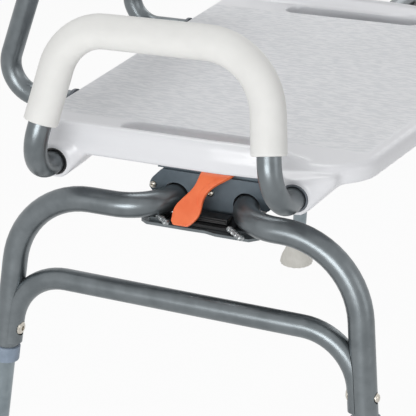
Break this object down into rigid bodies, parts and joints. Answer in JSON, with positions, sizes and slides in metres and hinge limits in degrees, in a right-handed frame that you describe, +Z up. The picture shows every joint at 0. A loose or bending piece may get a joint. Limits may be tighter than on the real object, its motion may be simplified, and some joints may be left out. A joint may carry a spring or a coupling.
{
  "type": "tub transfer bench",
  "caption": "Tub transfer bench: a splayed tube frame with rails that carry a sliding, swivelling seat with armrests and a backrest.",
  "frame": {"origin": "on the floor, under the middle of the whole bench's outline", "axes": "+Z up, +Y along the rails from the end where the seat stands at rest, +X to the seat's front"},
  "size_m": [0.5208, 1.0488, 0.855],
  "materials": {
    "frame_tube": "satin",
    "extension_tube": "satin",
    "steel_bracket": "satin",
    "black_plastic": "matte",
    "grey_plastic": "matte",
    "white_plastic": "textured",
    "cream_rubber": "matte",
    "white_foam": "matte",
    "orange_plastic": "satin",
    "bright_steel": "brushed"
  },
  "bodies": {
    "frame": {"side_tube_rear": "frame_tube", "side_tube_front": "frame_tube", "lock_rack": "black_plastic", "crossbar_near": "frame_tube", "weld_plate_near": "frame_tube", "leg_collar_near_rear": "grey_plastic", "crossbar_screw_near_rear": "bright_steel", "leg_collar_near_front": "grey_plastic", "crossbar_screw_near_front": "bright_steel", "crossbar_far": "frame_tube", "weld_plate_far": "frame_tube", "leg_collar_far_rear": "grey_plastic", "crossbar_screw_far_rear": "bright_steel", "leg_collar_far_front": "grey_plastic", "crossbar_screw_far_front": "bright_steel"},
    "leg_near_rear": {"leg_extension_near_rear": "extension_tube", "foot_tip_near_rear": "cream_rubber"},
    "leg_button_near_rear": {"leg_button_near_rear": "bright_steel"},
    "leg_near_front": {"leg_extension_near_front": "extension_tube", "foot_tip_near_front": "cream_rubber"},
    "leg_button_near_front": {"leg_button_near_front": "bright_steel"},
    "leg_far_rear": {"leg_extension_far_rear": "extension_tube", "foot_tip_far_rear": "cream_rubber"},
    "leg_button_far_rear": {"leg_button_far_rear": "bright_steel"},
    "leg_far_front": {"leg_extension_far_front": "extension_tube", "foot_tip_far_front": "cream_rubber"},
    "leg_button_far_front": {"leg_button_far_front": "bright_steel"},
    "carriage": {"carriage_plate": "steel_bracket", "swivel_ring_lower": "black_plastic", "swivel_post": "steel_bracket", "lever_hinge": "steel_bracket", "lever_pin": "bright_steel", "lock_spring": "bright_steel", "carriage_bracket_near": "steel_bracket", "carriage_bracket_far": "steel_bracket", "glide_block_near": "black_plastic", "glide_block_far": "black_plastic", "bracket_screw_near_rear": "bright_steel", "bracket_screw_near_middle": "bright_steel", "bracket_screw_near_front": "bright_steel", "bracket_screw_far_rear": "bright_steel", "bracket_screw_far_middle": "bright_steel", "bracket_screw_far_front": "bright_steel"},
    "release_lever": {"release_lever": "orange_plastic"},
    "lock_pin": {"lock_pin": "bright_steel"},
    "seat": {"seat_shell": "white_plastic", "swivel_ring_upper": "grey_plastic", "swivel_plate": "steel_bracket", "back_ring_near": "grey_plastic", "back_ring_far": "grey_plastic", "arm_bush_near_rear": "black_plastic", "arm_bush_near_front": "grey_plastic", "arm_bush_far_rear": "black_plastic", "arm_bush_far_front": "grey_plastic"},
    "armrest_near": {"armrest_tube_near": "frame_tube", "armrest_grip_near": "white_foam"},
    "armrest_far": {"armrest_tube_far": "frame_tube", "armrest_grip_far": "white_foam"},
    "backrest": {"backrest_tube": "frame_tube", "backrest_panel": "white_plastic"}
  },
  "joints": [
    {"name": "leg_slide_near_rear", "type": "slide", "parent": "frame", "child": "leg_near_rear", "axis": [-0.1123, -0.131, -0.985], "range_m": [0, 0.06]},
    {"name": "leg_button_pull_near_rear", "type": "slide", "parent": "frame", "child": "leg_button_near_rear", "axis": [-0.9937, 0.0148, 0.1113], "range_m": [0, 0.005], "stiffness_N_per_m": 300, "springref_m": -0.003},
    {"name": "leg_slide_near_front", "type": "slide", "parent": "frame", "child": "leg_near_front", "axis": [0.1123, -0.131, -0.985], "range_m": [0, 0.06]},
    {"name": "leg_button_pull_near_front", "type": "slide", "parent": "frame", "child": "leg_button_near_front", "axis": [0.9937, 0.0148, 0.1113], "range_m": [0, 0.005], "stiffness_N_per_m": 300, "springref_m": -0.003},
    {"name": "leg_slide_far_rear", "type": "slide", "parent": "frame", "child": "leg_far_rear", "axis": [-0.1123, 0.131, -0.985], "range_m": [0, 0.06]},
    {"name": "leg_button_pull_far_rear", "type": "slide", "parent": "frame", "child": "leg_button_far_rear", "axis": [-0.9937, -0.0148, 0.1113], "range_m": [0, 0.005], "stiffness_N_per_m": 300, "springref_m": -0.003},
    {"name": "leg_slide_far_front", "type": "slide", "parent": "frame", "child": "leg_far_front", "axis": [0.1123, 0.131, -0.985], "range_m": [0, 0.06]},
    {"name": "leg_button_pull_far_front", "type": "slide", "parent": "frame", "child": "leg_button_far_front", "axis": [0.9937, -0.0148, 0.1113], "range_m": [0, 0.005], "stiffness_N_per_m": 300, "springref_m": -0.003},
    {"name": "carriage_slide", "type": "slide", "parent": "frame", "child": "carriage", "axis": [0, 1, 0], "range_m": [0, 0.348]},
    {"name": "release_lever_lift", "type": "hinge", "parent": "carriage", "child": "release_lever", "pos_m": [0.0165, -0.3265, 0.53305], "axis": [-1, 0, 0], "range_deg": [0, 7], "stiffness_Nm_per_rad": 2, "springref_deg": -5.73},
    {"name": "lock_pin_lift", "type": "slide", "parent": "carriage", "child": "lock_pin", "axis": [0, 0, 1], "range_m": [0, 0.00474], "deforming": ["lock_spring"]},
    {"name": "seat_swivel", "type": "hinge", "parent": "carriage", "child": "seat", "pos_m": [0.0112, -0.178, 0.5352], "axis": [0, 0, 1], "continuous": true},
    {"name": "armrest_slide_near", "type": "slide", "parent": "seat", "child": "armrest_near", "axis": [0, -1, 0], "range_m": [0, 0.05]},
    {"name": "armrest_slide_far", "type": "slide", "parent": "seat", "child": "armrest_far", "axis": [0, 1, 0], "range_m": [0, 0.05]},
    {"name": "backrest_slide", "type": "slide", "parent": "seat", "child": "backrest", "axis": [-1, 0, 0], "range_m": [0, 0.045]}
  ],
  "couplings": [
    {"joint": "lock_pin_lift", "follows": "release_lever_lift", "m_per_rad": 0.038}
  ]
}
